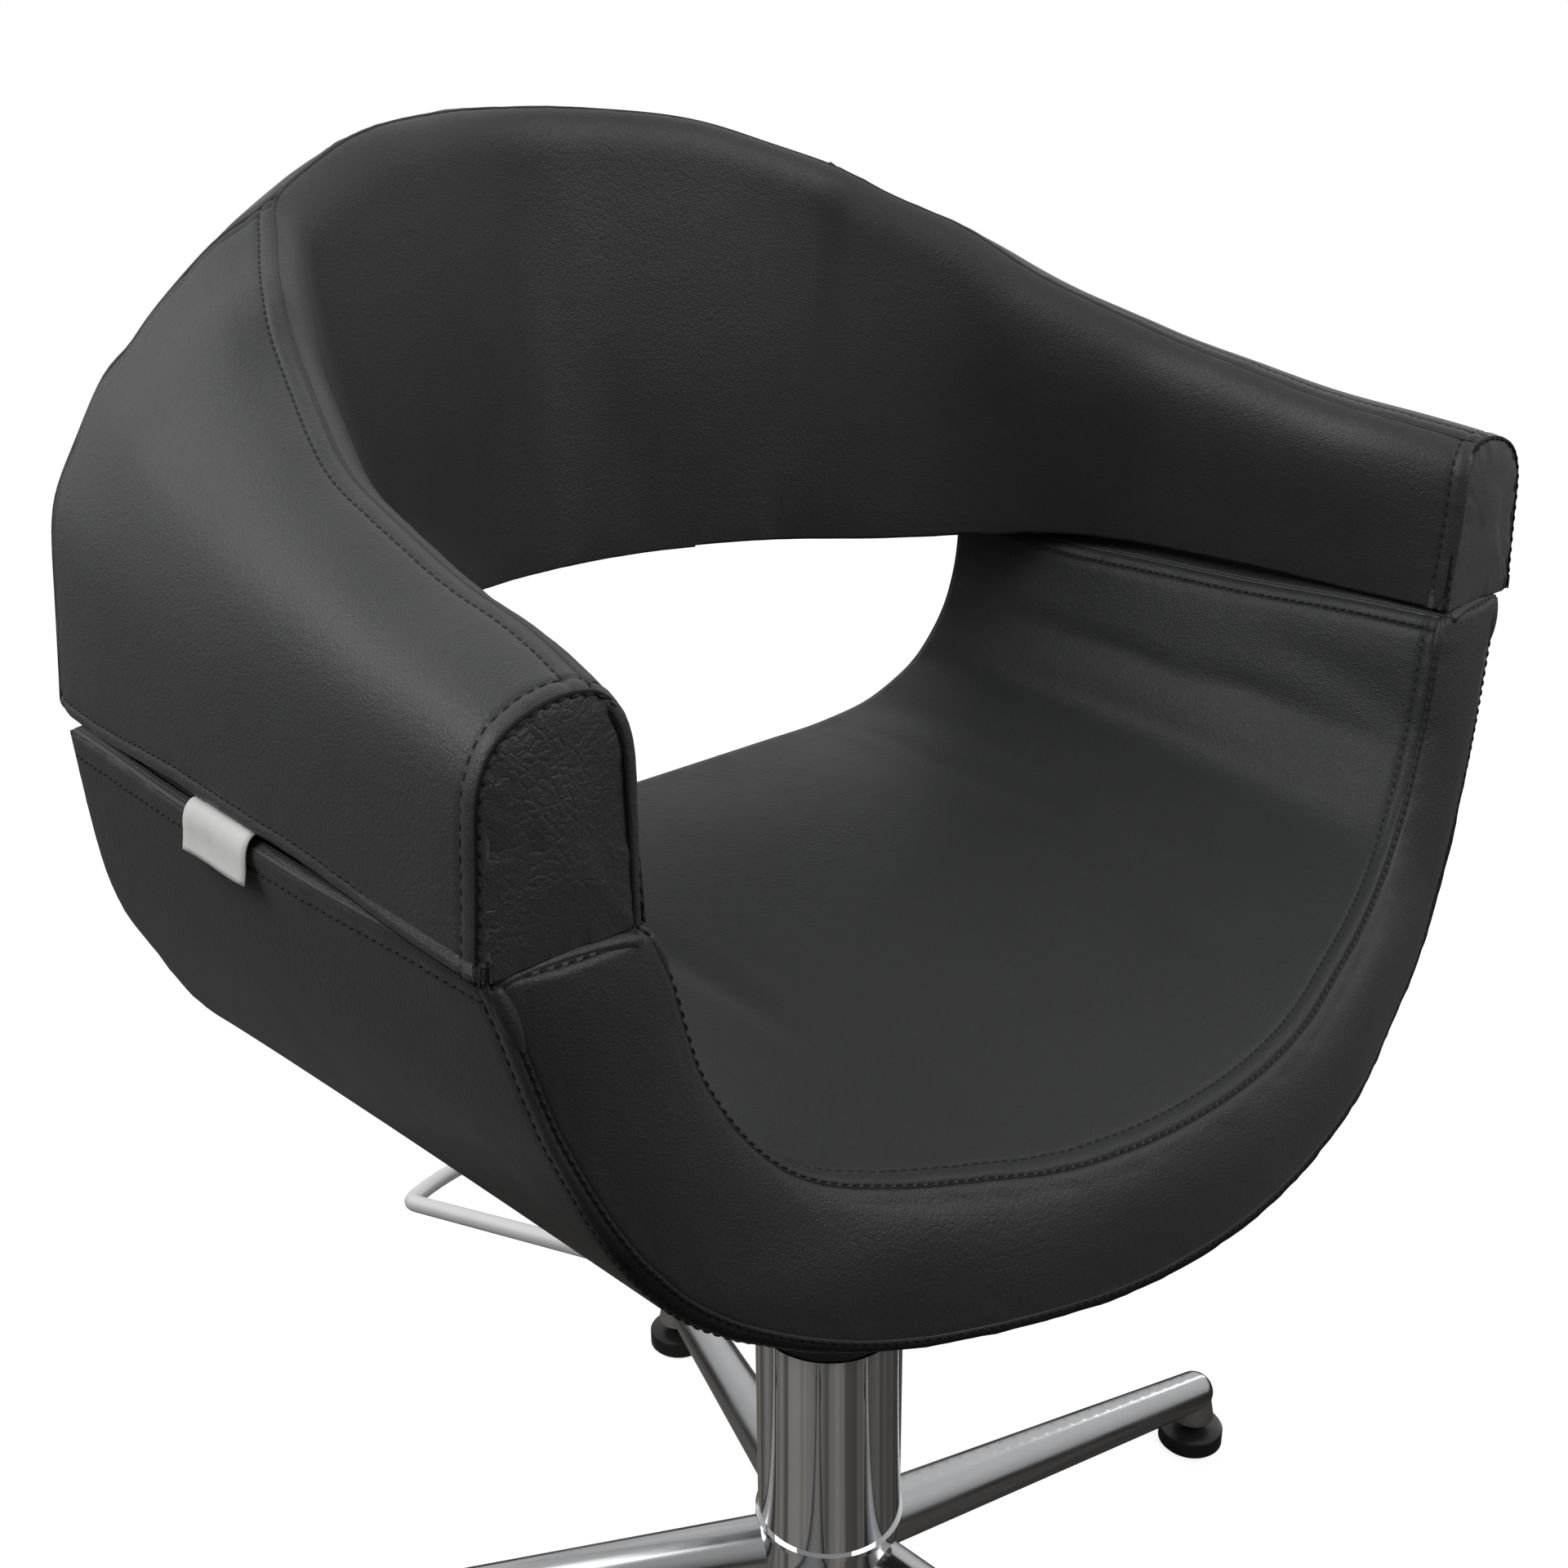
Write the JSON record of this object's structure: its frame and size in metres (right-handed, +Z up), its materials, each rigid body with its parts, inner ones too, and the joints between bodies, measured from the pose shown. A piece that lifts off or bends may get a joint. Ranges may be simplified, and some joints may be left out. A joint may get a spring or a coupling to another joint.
{
  "type": "styling chair",
  "caption": "Salon styling chair with a padded U-shaped seat, a wrap-around padded arm and back band, a pump column with a foot pedal, and a star base.",
  "frame": {"origin": "on the floor on the swivel axis, midway under the chair", "axes": "+Z up along the column, -Y the way the sitter faces, +X to the sitter's left"},
  "size_m": [0.6548, 0.6686, 0.869],
  "materials": {
    "chrome": "polished",
    "steel": "satin",
    "painted_black": "satin",
    "cast_iron": "satin",
    "brass": "satin",
    "nylon_black": "satin",
    "rubber_black": "matte",
    "plywood": "matte",
    "black_leather": "satin",
    "woven_label": "matte"
  },
  "bodies": {
    "base": {"base_hub": "chrome", "hub_ring": "chrome", "leg_1": "chrome", "leg_2": "chrome", "leg_3": "chrome", "leg_4": "chrome", "leg_5": "chrome", "glide_stems": "steel", "column_cover": "chrome", "pump_housing": "painted_black", "housing_foot": "painted_black", "foot_screws": "steel", "cover_lower_spacer": "nylon_black", "cover_upper_spacer": "nylon_black", "guide_bush": "nylon_black", "wiper_ring": "rubber_black", "thrust_race_lower": "steel", "thrust_balls": "steel", "ball_cage": "brass"},
    "rod": {"thrust_race_upper": "steel", "piston_rod": "steel", "piston": "cast_iron", "piston_seal": "rubber_black", "piston_nut": "steel"},
    "seat": {"pump_cylinder": "steel", "rod_gland": "brass", "pump_head": "cast_iron", "plunger_spring": "steel", "seat_spindle": "painted_black", "spindle_screws": "steel", "seat_plate": "painted_black", "seat_bolts": "steel", "seat_washers": "steel", "threaded_inserts": "brass", "mount_block": "plywood", "tub_shell": "plywood", "seat_inner_pad": "black_leather", "tub_outer_cover": "black_leather", "tub_front_band": "black_leather", "tub_rear_band": "black_leather", "spacer_bar_left": "painted_black", "spacer_bar_right": "painted_black", "arm_studs": "steel", "back_frame": "plywood", "back_inner_pad": "black_leather", "back_outer_cover": "black_leather", "arm_cap_left": "black_leather", "arm_cap_right": "black_leather", "label_tag": "woven_label"},
    "pedal": {"pedal_loop": "chrome", "pedal_shaft": "steel", "pedal_sleeves": "chrome", "rocker_cam": "steel", "shaft_collars": "steel"},
    "plunger": {"pump_plunger": "steel"},
    "glide_1": {"glide_pad_1": "nylon_black"},
    "glide_2": {"glide_pad_2": "nylon_black"},
    "glide_3": {"glide_pad_3": "nylon_black"},
    "glide_4": {"glide_pad_4": "nylon_black"},
    "glide_5": {"glide_pad_5": "nylon_black"}
  },
  "joints": [
    {"name": "glide_1_turn", "type": "hinge", "parent": "base", "child": "glide_1", "pos_m": [0.31632, -0.03269, 0], "axis": [0, 0, 1], "continuous": true},
    {"name": "glide_2_turn", "type": "hinge", "parent": "base", "child": "glide_2", "pos_m": [0.12884, 0.29073, 0], "axis": [0, 0, 1], "continuous": true},
    {"name": "glide_3_turn", "type": "hinge", "parent": "base", "child": "glide_3", "pos_m": [-0.23669, 0.21237, 0], "axis": [0, 0, 1], "continuous": true},
    {"name": "glide_4_turn", "type": "hinge", "parent": "base", "child": "glide_4", "pos_m": [-0.27512, -0.15948, 0], "axis": [0, 0, 1], "continuous": true},
    {"name": "glide_5_turn", "type": "hinge", "parent": "base", "child": "glide_5", "pos_m": [0.06666, -0.31094, 0], "axis": [0, 0, 1], "continuous": true},
    {"name": "seat_swivel", "type": "hinge", "parent": "base", "child": "rod", "pos_m": [0, 0, 0], "axis": [0, 0, 1], "continuous": true},
    {"name": "seat_lift", "type": "slide", "parent": "rod", "child": "seat", "axis": [0, 0, 1], "range_m": [0, 0.12]},
    {"name": "foot_pedal", "type": "hinge", "parent": "seat", "child": "pedal", "pos_m": [0, 0.035, 0.299], "axis": [1, 0, 0], "range_deg": [-20, 0]},
    {"name": "plunger_stroke", "type": "slide", "parent": "seat", "child": "plunger", "axis": [0, 0, 1], "range_m": [0, 0.0078], "deforming": ["plunger_spring"]}
  ],
  "couplings": [
    {"joint": "plunger_stroke", "follows": "foot_pedal", "m_per_rad": -0.022}
  ]
}
